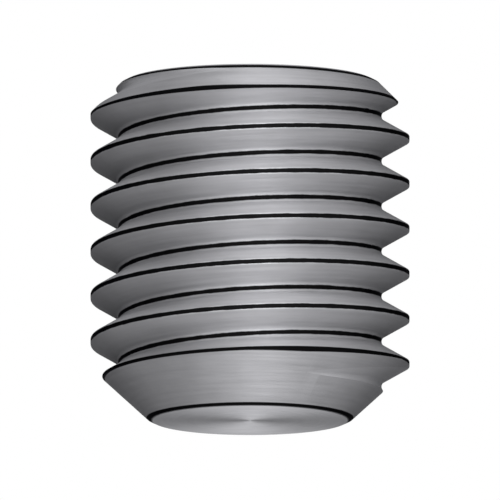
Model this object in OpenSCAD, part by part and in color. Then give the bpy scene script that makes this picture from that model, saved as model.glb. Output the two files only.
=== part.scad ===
// Headless set screw: one turned and threaded piece with a flat point and a hexagon socket.
// It stands on its point. The axis is Z, and the origin is the centre of the point face.

/* [Thread] */
// Outside diameter of the thread
thread_d = 14; // [12:0.5:20]
// Distance from one crest to the next
pitch = 2; // [1:0.25:2.5]
// Angle round the axis, from +X, at which a crest stands a whole number of pitches above the point face
crest_angle = 270; // [0:15:345]

/* [Ends] */
// Length from the point face to the socket end
screw_length = 15; // [14:1:30]
// Diameter of the flat point face
point_d = 8.8; // [6:0.2:9.4]
// Height of the cone between the point face and the full diameter
point_cone_h = 2.4; // [1.6:0.1:3]
// Diameter of the flat face at the socket end
socket_face_d = 11.2; // [9.4:0.2:11.6]
// Height of the chamfer at the socket end
socket_chamfer_h = 1.4; // [1:0.1:2]
// Width of the small edge break on both end faces
edge_break = 0.12; // [0.05:0.01:0.2]

/* [Hexagon socket] */
// Width across the flats of the hexagon
hex_af = 6; // [4:0.5:7]
// Depth of the hexagon below the socket end
hex_depth = 7; // [4:0.5:8]
// How much wider the countersunk mouth is than the hexagon's corners
mouth_over = 0.5; // [0.2:0.1:1]
// How much wider than the flats the hole is that is drilled before the hexagon is broached
drill_wider = 0.1; // [0.06:0.02:0.16]
// How far the drilled hole runs past the hexagon, before its drill point
drill_over = 0.5; // [0.2:0.1:1.5]

/* [Hidden] */

// Steps of the thread in one turn, and the facets of its rounded root
turn_steps = 48;
root_steps = 3;
$fn = 96;

crest_r = thread_d / 2;
point_r = point_d / 2;
socket_face_r = socket_face_d / 2;

// Metric thread form: flanks at 60 degrees, a flat crest an eighth of the pitch wide, a rounded root
flank_angle = 60;
crest_flat = pitch / 8;
root_r = pitch * sqrt(3) / 12;
groove_half_w = (pitch - crest_flat) / 2;
vee_depth = groove_half_w * tan(flank_angle);
floor_r = crest_r - vee_depth + root_r;
// How far the cutter stands out of the metal, which stays clear of the next turn's cut
cutter_over = crest_flat / 4 * tan(flank_angle);

// Socket: the drilled hole with its conical end, the hexagon and the countersunk mouth
drill_r = (hex_af + drill_wider) / 2;
drill_point_angle = 118;
drill_point_h = drill_r / tan(drill_point_angle / 2);
hex_corner_r = hex_af / 2 / cos(30);
mouth_r = hex_corner_r + mouth_over / 2;
mouth_angle = 120;
cut_over = 1;

// Height of the groove's middle at an angle round the axis
function groove_z(angle) = pitch * (angle - crest_angle) / 360 + pitch / 2;

// Outline of the groove as [radius, height above its middle], with the rounded root tangent to both flanks
function root_point(angle) = [floor_r + root_r * (1 - cos(angle)), root_r * sin(angle)];
groove_outline = concat(
    [[crest_r + cutter_over, -groove_half_w - cutter_over / tan(flank_angle)]],
    [for (i = [0:root_steps]) root_point(flank_angle * (2 * i / root_steps - 1))],
    [[crest_r + cutter_over, groove_half_w + cutter_over / tan(flank_angle)]]
);

// The groove starts outside the cone and ends outside the chamfer, so it runs out through both of them
entry_z = point_cone_h * (floor_r - point_r) / (crest_r - point_r) - root_r;
exit_z = screw_length - socket_chamfer_h * (floor_r - socket_face_r) / (crest_r - socket_face_r) + root_r;
first_step = floor((entry_z - groove_z(0)) / pitch * turn_steps);
last_step = ceil((exit_z - groove_z(0)) / pitch * turn_steps);

// Solid that a closed outline sweeps along the helix
module helical_sweep(outline, first, last) {
    n = len(outline);
    rings = last - first;
    points = [
        for (step = [first:last]) let (angle = 360 * step / turn_steps)
        for (p = outline) [p[0] * cos(angle), p[0] * sin(angle), p[1] + groove_z(angle)]
    ];
    sides = [
        for (ring = [0:rings - 1]) for (i = [0:n - 1])
        let (a = ring * n + i, b = ring * n + (i + 1) % n)
        each [[a, a + n, b], [b, a + n, b + n]]
    ];
    start_cap = [for (i = [0:n - 1]) i];
    end_cap = [for (i = [n - 1:-1:0]) rings * n + i];
    polyhedron(points, concat([start_cap, end_cap], sides), convexity = 10);
}

// Turned blank: flat point, cone, full diameter, chamfer and socket end
module blank() {
    rotate_extrude()
    polygon([
        [0, 0],
        [point_r - edge_break, 0],
        [point_r + edge_break * (crest_r - point_r) / point_cone_h, edge_break],
        [crest_r, point_cone_h],
        [crest_r, screw_length - socket_chamfer_h],
        [socket_face_r + edge_break * (crest_r - socket_face_r) / socket_chamfer_h, screw_length - edge_break],
        [socket_face_r - edge_break, screw_length],
        [0, screw_length]
    ]);
}

// Drilled hole, with the countersunk mouth that it opens into
module drilled_hole() {
    drill_end_z = screw_length - hex_depth - drill_over;
    rotate_extrude()
    polygon([
        [0, drill_end_z - drill_point_h],
        [drill_r, drill_end_z],
        [drill_r, screw_length - (mouth_r - drill_r) / tan(mouth_angle / 2)],
        [mouth_r + cut_over * tan(mouth_angle / 2), screw_length + cut_over],
        [0, screw_length + cut_over]
    ]);
}

module hexagon() {
    translate([0, 0, screw_length - hex_depth])
    cylinder(r = hex_corner_r, h = hex_depth + cut_over, $fn = 6);
}

module set_screw() {
    color("dimgray")
    difference() {
        blank();
        helical_sweep(groove_outline, first_step, last_step);
        drilled_hole();
        hexagon();
    }
}

set_screw();
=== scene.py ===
"""The headless set screw on its point, seen from a little below as in the photograph.

The screw is made here in the order of the workshop. The blank is turned with its point, chamfer,
drilled hole and countersunk mouth, the thread is rolled round it, and the hexagon is broached.
"""

import math

import bpy
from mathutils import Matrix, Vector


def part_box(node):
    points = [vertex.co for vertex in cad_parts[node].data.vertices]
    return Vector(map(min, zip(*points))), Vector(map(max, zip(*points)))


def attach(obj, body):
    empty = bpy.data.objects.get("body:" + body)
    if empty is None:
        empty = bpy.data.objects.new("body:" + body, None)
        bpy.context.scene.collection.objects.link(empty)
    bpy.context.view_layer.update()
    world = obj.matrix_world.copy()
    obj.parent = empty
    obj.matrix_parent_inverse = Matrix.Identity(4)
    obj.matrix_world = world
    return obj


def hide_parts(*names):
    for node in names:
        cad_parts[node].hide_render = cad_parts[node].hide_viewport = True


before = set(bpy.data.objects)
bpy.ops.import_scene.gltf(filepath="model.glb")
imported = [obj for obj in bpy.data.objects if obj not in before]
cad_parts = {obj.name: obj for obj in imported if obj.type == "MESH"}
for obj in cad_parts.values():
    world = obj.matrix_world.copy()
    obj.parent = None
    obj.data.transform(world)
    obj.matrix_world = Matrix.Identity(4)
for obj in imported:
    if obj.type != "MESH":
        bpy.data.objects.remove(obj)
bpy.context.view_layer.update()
low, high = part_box("set_screw")

MM = 0.001

# Sizes of the screw
CREST_R = (high.x - low.x) / 2
LENGTH = high.z
PITCH = 2 * MM
POINT_R = 4.4 * MM
POINT_CONE_H = 2.4 * MM
SOCKET_FACE_R = 5.6 * MM
SOCKET_CHAMFER_H = 1.4 * MM
HEX_AF = 6 * MM
HEX_DEPTH = 7 * MM
HEX_CORNER_R = HEX_AF / 2 / math.cos(math.radians(30))
HEX_CORNER_ROUND = 0.08 * MM
DRILL_WIDER = 0.1 * MM
DRILL_R = (HEX_AF + DRILL_WIDER) / 2
DRILL_OVER = 0.5 * MM
DRILL_POINT_ANGLE = math.radians(118)
MOUTH_OVER = 0.5 * MM
MOUTH_R = HEX_CORNER_R + MOUTH_OVER / 2
MOUTH_ANGLE = math.radians(120)

# Rise of the cone and of the chamfer for each metre of radius
CONE_RISE = POINT_CONE_H / (CREST_R - POINT_R)
CHAMFER_RISE = SOCKET_CHAMFER_H / (CREST_R - SOCKET_FACE_R)

# Edge break of both end faces, and how far its rounded middle lies in from the rim and from the face
EDGE_BREAK = 0.12 * MM
BREAK_MIDDLE_IN = 0.35 * EDGE_BREAK
BREAK_MIDDLE_H = 0.3 * EDGE_BREAK

# Metric thread form
FLANK_DEGREES = 60
FLANK_SLOPE = math.tan(math.radians(FLANK_DEGREES))
CREST_FLAT = PITCH / 8
CREST_ARC_R = 0.06 * MM
GROOVE_HALF_W = (PITCH - CREST_FLAT) / 2
ROOT_ARC_R = PITCH * math.sqrt(3) / 12
FLOOR_R = CREST_R - GROOVE_HALF_W * FLANK_SLOPE + ROOT_ARC_R

# A crest stands whole pitches above the point face at -Y, and this share of a pitch higher at +X
CREST_AT_X = 0.25

# How far the blank and the broach reach past the finished screw, and how many turns lower the thread starts
BLANK_OVER = 0.3 * MM
BROACH_OVER = 1 * MM
TURNS_BELOW = 2

# Steps of the finished surfaces
TURN_STEPS = 256
CREST_ARC_STEPS = 4
ROOT_ARC_STEPS = 10
HEX_CORNER_STEPS = 3

# Points this close are merged, faces this level count as flat, and edges below this angle look smooth
MERGE = 0.001 * MM
FLAT_NORMAL = 0.99
SMOOTH_BELOW = math.radians(28)

# The finishes' places among a piece's materials
ROLLED, TURNED, FACED, BROACHED = 0, 1, 2, 3


def deselect_all():
    if bpy.context.object and bpy.context.object.mode != "OBJECT":
        bpy.ops.object.mode_set(mode="OBJECT")
    bpy.ops.object.select_all(action="DESELECT")


def select(piece):
    deselect_all()
    piece.select_set(True)
    bpy.context.view_layer.objects.active = piece


def edit(piece):
    select(piece)
    bpy.ops.object.mode_set(mode="EDIT")
    bpy.ops.mesh.select_all(action="SELECT")


def apply_modifier(piece, modifier):
    select(piece)
    bpy.ops.object.modifier_apply(modifier=modifier.name)


def arc(centre, radius, start, end, steps):
    """Points [r, z] along an arc, with its angles in degrees from the radial direction."""
    turns = [math.radians(start + (end - start) * i / steps) for i in range(steps + 1)]
    return [(centre[0] + radius * math.cos(a), centre[1] + radius * math.sin(a)) for a in turns]


def trace(name, points):
    """Draws an outline in the XZ plane by extruding one vertex from point to point."""
    deselect_all()
    bpy.ops.mesh.primitive_plane_add(size=MM, location=(0, 0, 0))
    wire = bpy.context.object
    wire.name = name
    edit(wire)
    bpy.ops.mesh.merge(type="CENTER")
    bpy.ops.transform.translate(value=(points[0][0], 0, points[0][1]))
    for (r0, z0), (r1, z1) in zip(points, points[1:]):
        bpy.ops.mesh.extrude_vertices_move(TRANSFORM_OT_translate={"value": (r1 - r0, 0, z1 - z0)})
    deselect_all()
    return wire


def finish_shell(piece, finish):
    """Closes the seam of a turned or rolled shell, points its faces outwards and gives it one finish."""
    edit(piece)
    bpy.ops.mesh.remove_doubles(threshold=MERGE)
    bpy.ops.mesh.select_all(action="SELECT")
    bpy.ops.mesh.normals_make_consistent(inside=False)
    deselect_all()
    for material in FINISHES:
        piece.data.materials.append(material)
    for face in piece.data.polygons:
        face.material_index = finish


def turned_blank():
    """The bar as turned: point, cone, room for the thread, chamfer, mouth and drilled hole."""
    drill_end = LENGTH - HEX_DEPTH - DRILL_OVER
    outline = [
        (0, 0),
        (POINT_R - EDGE_BREAK, 0),
        (POINT_R - BREAK_MIDDLE_IN, BREAK_MIDDLE_H),
        (POINT_R + EDGE_BREAK / CONE_RISE, EDGE_BREAK),
        (CREST_R + BLANK_OVER, POINT_CONE_H + BLANK_OVER * CONE_RISE),
        (CREST_R + BLANK_OVER, LENGTH - SOCKET_CHAMFER_H - BLANK_OVER * CHAMFER_RISE),
        (SOCKET_FACE_R + EDGE_BREAK / CHAMFER_RISE, LENGTH - EDGE_BREAK),
        (SOCKET_FACE_R - BREAK_MIDDLE_IN, LENGTH - BREAK_MIDDLE_H),
        (SOCKET_FACE_R - EDGE_BREAK, LENGTH),
        (MOUTH_R, LENGTH),
        (DRILL_R, LENGTH - (MOUTH_R - DRILL_R) / math.tan(MOUTH_ANGLE / 2)),
        (DRILL_R, drill_end),
        (0, drill_end - DRILL_R / math.tan(DRILL_POINT_ANGLE / 2)),
    ]
    blank = trace("turned_blank", outline)
    edit(blank)
    bpy.ops.mesh.spin(steps=TURN_STEPS, angle=2 * math.pi, center=(0, 0, 0), axis=(0, 0, 1))
    finish_shell(blank, TURNED)
    for face in blank.data.polygons:
        if abs(face.normal.z) > FLAT_NORMAL:
            face.material_index = FACED
    return blank


def rolled_thread():
    """The thread as one long helical shell that reaches past both ends of the screw."""
    start = (CREST_AT_X - TURNS_BELOW) * PITCH
    corner = CREST_FLAT / 2 - CREST_ARC_R / FLANK_SLOPE
    lower_crest = (CREST_R - CREST_ARC_R, start + corner)
    root = (FLOOR_R + ROOT_ARC_R, start + PITCH / 2)
    upper_crest = (CREST_R - CREST_ARC_R, start + PITCH - corner)
    outline = (
        [(CREST_R, start)]
        + arc(lower_crest, CREST_ARC_R, 0, FLANK_DEGREES, CREST_ARC_STEPS)
        + arc(root, ROOT_ARC_R, 180 + FLANK_DEGREES, 180 - FLANK_DEGREES, ROOT_ARC_STEPS)
        + arc(upper_crest, CREST_ARC_R, -FLANK_DEGREES, 0, CREST_ARC_STEPS)
        + [(CREST_R, start + PITCH)]
    )
    thread = trace("rolled_thread", outline)
    screw = thread.modifiers.new("roll", "SCREW")
    screw.axis = "Z"
    screw.angle = 2 * math.pi
    screw.screw_offset = PITCH
    screw.iterations = math.ceil((LENGTH - start) / PITCH)
    screw.steps = TURN_STEPS
    screw.render_steps = TURN_STEPS
    apply_modifier(thread, screw)
    edit(thread)
    bpy.ops.mesh.remove_doubles(threshold=MERGE)
    bpy.ops.mesh.select_all(action="SELECT")
    bpy.ops.mesh.fill_holes(sides=0)
    # The two end faces are fanned out from their middles
    bpy.ops.mesh.select_all(action="DESELECT")
    bpy.ops.mesh.select_face_by_sides(number=TURN_STEPS // 2, type="GREATER")
    bpy.ops.mesh.poke()
    finish_shell(thread, ROLLED)
    return thread


def hexagon_broach():
    """The broach, with two corners on the X axis and its corners slightly rounded."""
    height = HEX_DEPTH + BROACH_OVER
    deselect_all()
    bpy.ops.mesh.primitive_cylinder_add(
        vertices=6,
        radius=HEX_CORNER_R,
        depth=height,
        location=(0, 0, LENGTH - HEX_DEPTH + height / 2),
        rotation=(0, 0, math.radians(30)),
    )
    broach = bpy.context.object
    broach.name = "hexagon_broach"
    bpy.ops.object.transform_apply(location=True, rotation=True, scale=True)
    edit(broach)
    bpy.ops.mesh.select_all(action="DESELECT")
    bpy.ops.object.mode_set(mode="OBJECT")
    for edge in broach.data.edges:
        a, b = (broach.data.vertices[i].co for i in edge.vertices)
        edge.select = abs(a.z - b.z) > height / 2
    bpy.ops.object.mode_set(mode="EDIT")
    bpy.ops.mesh.bevel(offset=HEX_CORNER_ROUND, segments=HEX_CORNER_STEPS)
    finish_shell(broach, BROACHED)
    return broach


def cut(piece, tool, operation):
    """Shapes the piece with the tool by a boolean, and takes the tool away."""
    modifier = piece.modifiers.new("cut", "BOOLEAN")
    modifier.operation = operation
    modifier.solver = "MANIFOLD"
    modifier.object = tool
    apply_modifier(piece, modifier)
    select(tool)
    bpy.ops.object.delete()


def make_screw():
    screw = turned_blank()
    cut(screw, rolled_thread(), "INTERSECT")
    cut(screw, hexagon_broach(), "DIFFERENCE")
    screw.name = "screw_body"
    select(screw)
    bpy.ops.object.shade_smooth_by_angle(angle=SMOOTH_BELOW)
    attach(screw, "root")
    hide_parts("set_screw")


# Nodes

NOISE_DETAIL = 3.0
NOISE_ROUGHNESS = 0.6


def add_node(tree, kind, inputs=(), **settings):
    """Adds a node, whose inputs are given as values or as the outputs of other nodes."""
    node = tree.nodes.new(kind)
    for name, value in settings.items():
        setattr(node, name, value)
    for name, value in dict(inputs).items():
        if isinstance(value, bpy.types.NodeSocket):
            tree.links.new(value, node.inputs[name])
        else:
            node.inputs[name].default_value = value
    return node


def calculate(tree, operation, *values):
    node = add_node(tree, "ShaderNodeMath", enumerate(values), operation=operation)
    return node.outputs["Value"]


def calculate_vector(tree, operation, *values):
    node = add_node(tree, "ShaderNodeVectorMath", enumerate(values), operation=operation)
    return node.outputs["Value" if operation == "LENGTH" else "Vector"]


def step_between(tree, value, low_end, high_end):
    """Rises smoothly from 0 to 1 as the value goes from the low end to the high end."""
    inputs = {"Value": value, "From Min": low_end, "From Max": high_end}
    node = add_node(tree, "ShaderNodeMapRange", inputs, interpolation_type="SMOOTHSTEP")
    return node.outputs["Result"]


def between(tree, value, low_end, high_end):
    """Goes from the low end to the high end as the value goes from 0 to 1."""
    inputs = {"Value": value, "To Min": low_end, "To Max": high_end}
    node = add_node(tree, "ShaderNodeMapRange", inputs)
    return node.outputs["Result"]


def around_level(tree, value, level, spread):
    """Goes from a spread below the level to a spread above it as the value goes from 0 to 1."""
    return between(tree, value, level - spread, level + spread)


def both(tree, first, second):
    return calculate(tree, "MULTIPLY", first, second)


def either(tree, first, second):
    return calculate(tree, "MAXIMUM", first, second)


def blend(tree, first, second, share):
    """The first value with a share of the second."""
    rest = calculate(tree, "MULTIPLY", first, 1 - share)
    return calculate(tree, "MULTIPLY_ADD", second, share, rest)


def mix_colours(tree, factor, first, second):
    inputs = {"Factor": factor, "A": first, "B": second}
    node = add_node(tree, "ShaderNodeMix", inputs, data_type="RGBA")
    return node.outputs["Result"]


def noise(tree, vector, detail=NOISE_DETAIL, **more):
    inputs = {"Vector": vector, "Scale": 1.0, "Detail": detail, "Roughness": NOISE_ROUGHNESS, **more}
    node = add_node(tree, "ShaderNodeTexNoise", inputs, noise_dimensions="4D" if "W" in more else "3D")
    return node.outputs["Fac"]


def grey(level, cool=0.04):
    """A grey with a little more blue in it."""
    return (level, level, level * (1 + cool), 1)


class Place:
    """Where a point of the screw lies: its radius, its height and its direction from the axis.

    from_crest is the distance along the axis to the nearest crest, and above_crest is 1 where that
    crest lies below the point.
    """

    def __init__(self, tree):
        self.point = add_node(tree, "ShaderNodeTexCoord").outputs["Object"]
        flat = calculate_vector(tree, "MULTIPLY", self.point, (1, 1, 0))
        self.radius = calculate_vector(tree, "LENGTH", flat)
        self.outwards = calculate_vector(tree, "NORMALIZE", flat)
        self.around = calculate_vector(tree, "CROSS_PRODUCT", (0, 0, 1), flat)
        parts = add_node(tree, "ShaderNodeSeparateXYZ", {0: self.point})
        self.height = parts.outputs["Z"]
        self.from_end = calculate(tree, "SUBTRACT", LENGTH, self.height)
        angle = calculate(tree, "ARCTAN2", parts.outputs["Y"], parts.outputs["X"])
        turns = calculate(tree, "DIVIDE", angle, 2 * math.pi)
        crests = calculate(tree, "SUBTRACT", calculate(tree, "DIVIDE", self.height, PITCH), turns)
        past_crest = calculate(tree, "SUBTRACT", crests, CREST_AT_X)
        self.from_crest = calculate(tree, "MULTIPLY", calculate(tree, "PINGPONG", past_crest, 0.5), PITCH)
        self.above_crest = calculate(tree, "LESS_THAN", calculate(tree, "FRACT", past_crest), 0.5)


# Finishes

# Marks of the tools: their width, and how soon they fade in and out round the axis and along it
MARK_WIDTH = 0.14 * MM
MARK_CHANGE_ROUND = 1.5
MARK_CHANGE_H = 2.5 * MM
BROACH_MARK_WIDTH = 0.12 * MM
BROACH_MARK_LENGTH = 4.8 * MM

# Feed of the turning tool for each turn, and the share that its grooves have in the relief
TURNING_FEED = 0.16 * MM
FACING_FEED = 0.2 * MM
FEED_SHARE = 0.4

# Depth of the relief
ROLLED_RELIEF = 0.006 * MM
TURNED_RELIEF = 0.004 * MM
BROACHED_RELIEF = 0.006 * MM

# Soft clouds in the tone, and their share in it
CLOUD_SIZE = 1.8 * MM
CLOUD_DETAIL = 2.0
CLOUD_SHARE = 0.35

# Tones of the steel between and on its marks, of the oxide, and of the painted shade deep in the socket
ROLLED_TONES = (grey(0.17), grey(0.29))
TURNED_TONES = (grey(0.14), grey(0.27))
FACED_TONES = (grey(0.24), grey(0.41))
OXIDE = grey(0.003)
SOCKET_SHADE_GREY = grey(0.02)
GRAZING_TINT = grey(0.45)

# How much the roughness and the sheen change from mark to mark
ROUGHNESS_SPREAD = 0.08
SHEEN_SPREAD = 0.1

# The sheen runs along the direction round the axis or across it, given as a share of a full turn
ALONG, ACROSS = 0, 0.25

# Dark lines of oxide, the one in the root also painted shade: the distance at which each one starts and the
# distance at which it is full
CREST_LINE = (0.12 * MM, 0.08 * MM)
CREST_LINE_DEPTH = (0.08 * MM, 0.04 * MM)
ROOT_OXIDE_AND_SHADE_LINE = (0.12 * MM, 0.075 * MM)
THREAD_EDGE_LINE = (0.14 * MM, 0.1 * MM)
BLANK_EDGE_LINE = (0.34 * MM, 0.28 * MM)
POINT_LINE = (EDGE_BREAK + 0.03 * MM, EDGE_BREAK)
POINT_LINE_R = (POINT_R - EDGE_BREAK, POINT_R - EDGE_BREAK / 3)
SOCKET_LINE = (EDGE_BREAK + 0.11 * MM, EDGE_BREAK + 0.07 * MM)
SOCKET_LINE_R = (SOCKET_FACE_R - EDGE_BREAK / 3, SOCKET_FACE_R + EDGE_BREAK / 3)
LINE_WAVER = 0.03 * MM
LINE_WAVER_SIZE = 0.7 * MM

# Radius of the cone or chamfer over which the lines fade at the thread's run-out
RUN_OUT = (FLOOR_R + 0.15 * MM, FLOOR_R + 0.75 * MM)

# Depth over which painted shade darkens the socket, and by how much
SOCKET_SHADE_DEPTH = (2 * MM, HEX_DEPTH)
SOCKET_SHADE = 0.7


def stretched(tree, place, x, y, z):
    """The point's coordinates in steps of the given lengths."""
    return calculate_vector(tree, "MULTIPLY", place.point, (1 / x, 1 / y, 1 / z))


def spots(tree, place, size, detail=NOISE_DETAIL):
    """Soft spots of about the same size in every direction."""
    return noise(tree, stretched(tree, place, size, size, size), detail)


def marks_around(tree, place):
    """Fine marks that run round the axis at a constant radius and fade in and out on their way."""
    change = (MARK_CHANGE_ROUND, MARK_CHANGE_ROUND, 0)
    height = stretched(tree, place, 1, 1, MARK_CHANGE_H)
    on_the_way = calculate_vector(tree, "MULTIPLY_ADD", place.outwards, change, height)
    return noise(tree, on_the_way, W=calculate(tree, "DIVIDE", place.radius, MARK_WIDTH))


def marks_along(tree, place):
    """Marks that the broach leaves down the walls of the socket."""
    return noise(tree, stretched(tree, place, BROACH_MARK_WIDTH, BROACH_MARK_WIDTH, BROACH_MARK_LENGTH))


def tool_relief(tree, place, marks, feed):
    """The marks with the turning tool's even grooves, from 0 to 1."""
    wave = calculate(tree, "SINE", calculate(tree, "MULTIPLY", place.radius, 2 * math.pi / feed))
    return blend(tree, marks, calculate(tree, "MULTIPLY_ADD", wave, 0.5, 0.5), FEED_SHARE)


def steel_tone(tree, place, marks, tones):
    """Mixes two tones by the marks and by soft clouds."""
    clouds = spots(tree, place, CLOUD_SIZE, CLOUD_DETAIL)
    return mix_colours(tree, blend(tree, marks, clouds, CLOUD_SHARE), *tones)


def new_steel(name):
    material = bpy.data.materials.new(name)
    material.use_nodes = True
    tree = material.node_tree
    return material, tree, Place(tree)


def finish_steel(tree, place, colour, marks, relief, depth, roughness, sheen, turn):
    """Gives the steel its colour, its roughness, the sheen across its marks, and their relief."""
    shader = tree.nodes["Principled BSDF"]
    shader.inputs["Metallic"].default_value = 1.0
    shader.inputs["Specular Tint"].default_value = GRAZING_TINT
    shader.inputs["Anisotropic Rotation"].default_value = turn
    tree.links.new(colour, shader.inputs["Base Color"])
    rough = around_level(tree, marks, roughness, ROUGHNESS_SPREAD)
    tree.links.new(rough, shader.inputs["Roughness"])
    shine = around_level(tree, marks, sheen, SHEEN_SPREAD)
    tree.links.new(shine, shader.inputs["Anisotropic"])
    tree.links.new(place.around, shader.inputs["Tangent"])
    bump = add_node(tree, "ShaderNodeBump", {"Height": relief, "Distance": depth, "Strength": 1.0})
    tree.links.new(bump.outputs["Normal"], shader.inputs["Normal"])


def inside_flank(tree, place):
    """How far a point of the cone or chamfer lies inside the thread's flank."""
    past_crest = calculate(tree, "SUBTRACT", place.from_crest, CREST_FLAT / 2)
    down_flank = calculate(tree, "MULTIPLY", calculate(tree, "MAXIMUM", past_crest, 0.0), FLANK_SLOPE)
    flank_r = calculate(tree, "SUBTRACT", CREST_R, down_flank)
    return calculate(tree, "SUBTRACT", flank_r, place.radius)


def blank_radius(tree, place):
    """Radius of the cone or the chamfer at a point's height."""
    cone_r = calculate(tree, "MULTIPLY_ADD", place.height, 1 / CONE_RISE, POINT_R)
    chamfer_r = calculate(tree, "MULTIPLY_ADD", place.from_end, 1 / CHAMFER_RISE, SOCKET_FACE_R)
    return calculate(tree, "MINIMUM", cone_r, chamfer_r)


def thread_side(tree, place):
    """The side of a crest that has more thread beside it: above it at the cone, below it at the chamfer."""
    at_chamfer = calculate(tree, "GREATER_THAN", place.height, LENGTH / 2)
    return calculate(tree, "ABSOLUTE", calculate(tree, "SUBTRACT", place.above_crest, at_chamfer))


def rolled_finish():
    """Rolled thread: oxide stays in the crest's seam and at the run-out's edge, and the dark line in the
    root is oxide with painted shade.
    """
    material, tree, place = new_steel("rolled_steel")
    marks = marks_around(tree, place)
    waver = around_level(tree, spots(tree, place, LINE_WAVER_SIZE), 0, LINE_WAVER)
    from_crest = calculate(tree, "ADD", place.from_crest, waver)
    from_root = calculate(tree, "SUBTRACT", PITCH / 2, from_crest)
    below_crest = calculate(tree, "SUBTRACT", CREST_R, place.radius)
    blank_r = blank_radius(tree, place)
    inside_blank = calculate(tree, "SUBTRACT", blank_r, place.radius)
    crest = both(
        tree,
        step_between(tree, below_crest, *CREST_LINE_DEPTH),
        step_between(tree, from_crest, *CREST_LINE),
    )
    # Dark line in the root: partly oxide, partly painted shade in the groove
    root = step_between(tree, from_root, *ROOT_OXIDE_AND_SHADE_LINE)
    edge = both(
        tree,
        step_between(tree, inside_blank, *THREAD_EDGE_LINE),
        thread_side(tree, place),
    )
    deep = step_between(tree, blank_r, *RUN_OUT)
    dark = either(tree, crest, both(tree, either(tree, root, edge), deep))
    finish_steel(
        tree,
        place,
        colour=mix_colours(tree, dark, steel_tone(tree, place, marks, ROLLED_TONES), OXIDE),
        marks=marks,
        relief=marks,
        depth=ROLLED_RELIEF,
        roughness=0.62,
        sheen=0.6,
        turn=ACROSS,
    )
    return material


def turned_finish():
    """Cone and chamfer: oxide stays along their edges."""
    material, tree, place = new_steel("turned_steel")
    marks = marks_around(tree, place)
    deep = step_between(tree, blank_radius(tree, place), *RUN_OUT)
    edge = both(
        tree,
        step_between(tree, inside_flank(tree, place), *BLANK_EDGE_LINE),
        both(tree, deep, thread_side(tree, place)),
    )
    point_edge = both(
        tree,
        step_between(tree, place.height, *POINT_LINE),
        step_between(tree, place.radius, *POINT_LINE_R),
    )
    socket_edge = both(
        tree,
        step_between(tree, place.from_end, *SOCKET_LINE),
        step_between(tree, place.radius, *SOCKET_LINE_R),
    )
    dark = either(tree, edge, either(tree, point_edge, socket_edge))
    finish_steel(
        tree,
        place,
        colour=mix_colours(tree, dark, steel_tone(tree, place, marks, TURNED_TONES), OXIDE),
        marks=marks,
        relief=tool_relief(tree, place, marks, TURNING_FEED),
        depth=TURNED_RELIEF,
        roughness=0.62,
        sheen=0.6,
        turn=ACROSS,
    )
    return material


def faced_finish():
    """The flat faces of both ends."""
    material, tree, place = new_steel("faced_steel")
    marks = marks_around(tree, place)
    finish_steel(
        tree,
        place,
        colour=steel_tone(tree, place, marks, FACED_TONES),
        marks=marks,
        relief=tool_relief(tree, place, marks, FACING_FEED),
        depth=TURNED_RELIEF,
        roughness=0.66,
        sheen=0.5,
        turn=ACROSS,
    )
    return material


def broached_finish():
    """The walls and the floor of the hexagon, made darker towards the bottom by painted shade."""
    material, tree, place = new_steel("broached_steel")
    marks = marks_along(tree, place)
    # Painted shade: the socket's colour goes darker with depth
    deep = step_between(tree, place.from_end, *SOCKET_SHADE_DEPTH)
    shade = calculate(tree, "MULTIPLY", deep, SOCKET_SHADE)
    finish_steel(
        tree,
        place,
        colour=mix_colours(tree, shade, steel_tone(tree, place, marks, TURNED_TONES), SOCKET_SHADE_GREY),
        marks=marks,
        relief=marks,
        depth=BROACHED_RELIEF,
        roughness=0.55,
        sheen=0.4,
        turn=ALONG,
    )
    return material


# Studio

MIDDLE = (low + high) / 2

# Floor: its size, how far it lies under the point, and the distances over which it fades out
FLOOR_SIZE = 0.4
FLOOR_BELOW = 0.02 * MM
FLOOR_FADE = (60 * MM, 15 * MM)
FLOOR_GREY = 0.45
FLOOR_GLOW = 0.5

# Card: how far it stands behind the axis, its size and its tone
CARD_BEHIND = 0.25
CARD_WIDTH = 0.6
CARD_HEIGHT = 0.4
CARD_GREY = 0.01
CARD_GLOW = 0.1

# Both the floor and the card are matt
MATT_ROUGHNESS = 0.9

# Light of the room on matt surfaces, where the background is 1
ROOM_LIGHT = 0.25

# Soft boxes: their distance, and where the rows in front stand, in degrees to the right and up
LAMP_DISTANCE = 0.2
FRONT_AZIMUTH = 10
FRONT_ROWS = {"low": -30, "level": 0, "high": 40}

# Camera: without perspective, looking up by this angle from this far away
VIEW_ANGLE = math.radians(8.6)
CAMERA_DISTANCE = 0.2

# The photograph's frame, its scale, and where the middle of the point face and the axis lie in it
FRAME_PX = 500
PX_PER_M = 22.79 / MM
POINT_PX = 420.5
AXIS_PX = 250


def matt_surface(material, level, glow):
    """A plain matt grey that glows a little by itself."""
    shader = material.node_tree.nodes["Principled BSDF"]
    shader.inputs["Base Color"].default_value = grey(level)
    shader.inputs["Roughness"].default_value = MATT_ROUGHNESS
    shader.inputs["Emission Color"].default_value = grey(1, 0)
    shader.inputs["Emission Strength"].default_value = glow
    return shader


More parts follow.
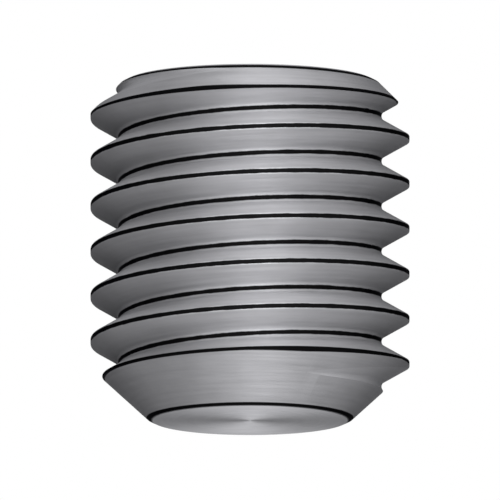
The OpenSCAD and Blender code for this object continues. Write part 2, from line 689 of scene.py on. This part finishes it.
def make_floor():
    """A pale floor that is seen only from above, and that fades into the plain background."""
    deselect_all()
    bpy.ops.mesh.primitive_plane_add(size=FLOOR_SIZE, location=(0, 0, low.z - FLOOR_BELOW))
    floor = bpy.context.object
    floor.name = "studio_floor"
    material = bpy.data.materials.new("pale_floor")
    material.use_nodes = True
    tree = material.node_tree
    shader = matt_surface(material, FLOOR_GREY, FLOOR_GLOW)
    coordinates = add_node(tree, "ShaderNodeTexCoord")
    distance = calculate_vector(tree, "LENGTH", coordinates.outputs["Object"])
    near = step_between(tree, distance, *FLOOR_FADE)
    side = add_node(tree, "ShaderNodeNewGeometry")
    from_above = calculate(tree, "SUBTRACT", 1.0, side.outputs["Backfacing"])
    rays = add_node(tree, "ShaderNodeLightPath")
    seen = both(tree, both(tree, from_above, rays.outputs["Is Camera Ray"]), near)
    clear = add_node(tree, "ShaderNodeBsdfTransparent")
    inputs = {0: seen, 1: clear.outputs["BSDF"], 2: shader.outputs["BSDF"]}
    mixed = add_node(tree, "ShaderNodeMixShader", inputs)
    tree.links.new(mixed.outputs["Shader"], tree.nodes["Material Output"].inputs["Surface"])
    floor.data.materials.append(material)


def light_world():
    """A white background that metal shows too, and a weaker light on everything else."""
    world = bpy.data.worlds.new("pale_room")
    bpy.context.scene.world = world
    world.use_nodes = True
    tree = world.node_tree
    background = tree.nodes["Background"]
    background.inputs["Color"].default_value = (1, 1, 1, 1)
    rays = add_node(tree, "ShaderNodeLightPath")
    direct = either(tree, rays.outputs["Is Camera Ray"], rays.outputs["Is Glossy Ray"])
    seen = either(tree, direct, rays.outputs["Is Transmission Ray"])
    tree.links.new(between(tree, seen, ROOM_LIGHT, 1), background.inputs["Strength"])


def soft_box(name, azimuth, elevation, width, height, power):
    """A soft box that looks at the screw; azimuth 0 is the front, 90 the right; power is in watts."""
    lamp = bpy.data.lights.new(name, "AREA")
    lamp.shape = "RECTANGLE"
    lamp.size = width
    lamp.size_y = height
    lamp.energy = power
    box = bpy.data.objects.new(name, lamp)
    bpy.context.scene.collection.objects.link(box)
    level = math.cos(math.radians(elevation))
    box.location = (
        MIDDLE.x + LAMP_DISTANCE * level * math.sin(math.radians(azimuth)),
        MIDDLE.y - LAMP_DISTANCE * level * math.cos(math.radians(azimuth)),
        MIDDLE.z + LAMP_DISTANCE * math.sin(math.radians(elevation)),
    )
    towards = MIDDLE - box.location
    box.rotation_euler = towards.to_track_quat("-Z", "Y").to_euler()
    box.visible_camera = False


def light_screw():
    """Narrow boxes in front for the highlight with wide ones for its slopes, and weak ones round about."""
    for row, elevation in FRONT_ROWS.items():
        soft_box(row + "_front_box", FRONT_AZIMUTH, elevation, width=0.05, height=0.14, power=0.23)
        soft_box(row + "_fill_box", FRONT_AZIMUTH, elevation, width=0.34, height=0.14, power=0.4)
    soft_box("left_box", azimuth=-44, elevation=0, width=0.1, height=0.34, power=0.14)
    soft_box("right_box", azimuth=74, elevation=0, width=0.1, height=0.34, power=0.2)
    soft_box("back_box", azimuth=235, elevation=30, width=0.1, height=0.14, power=0.06)


def back_card():
    """A dark card that only reflections see, which keeps the sides of the screw dark."""
    deselect_all()
    bpy.ops.mesh.primitive_plane_add(size=1, location=(0, CARD_BEHIND, MIDDLE.z))
    card = bpy.context.object
    card.name = "back_card"
    towards = MIDDLE - card.location
    card.rotation_euler = towards.to_track_quat("Z", "Y").to_euler()
    card.scale = (CARD_WIDTH, CARD_HEIGHT, 1)
    material = bpy.data.materials.new("back_card")
    material.use_nodes = True
    matt_surface(material, CARD_GREY, CARD_GLOW)
    card.data.materials.append(material)
    card.visible_camera = False
    card.visible_diffuse = False
    card.visible_shadow = False
    card.visible_transmission = False


def photo_camera():
    """Looks up at the screw from below its point, nearly square on, as the photograph does."""
    up_by = (POINT_PX - FRAME_PX / 2) / PX_PER_M / math.cos(VIEW_ANGLE)
    left_by = (AXIS_PX - FRAME_PX / 2) / PX_PER_M
    camera = bpy.data.cameras.new("photo_camera")
    camera.type = "ORTHO"
    camera.ortho_scale = FRAME_PX / PX_PER_M
    holder = bpy.data.objects.new("photo_camera", camera)
    bpy.context.scene.collection.objects.link(holder)
    back = CAMERA_DISTANCE * math.cos(VIEW_ANGLE)
    down = CAMERA_DISTANCE * math.sin(VIEW_ANGLE)
    holder.location = (-left_by, -back, up_by - down)
    holder.rotation_euler = (math.radians(90) + VIEW_ANGLE, 0, 0)
    bpy.context.scene.camera = holder


FINISHES = [rolled_finish(), turned_finish(), faced_finish(), broached_finish()]

make_screw()
make_floor()
light_world()
light_screw()
back_card()
photo_camera()

bpy.context.scene.view_settings.view_transform = "Standard"
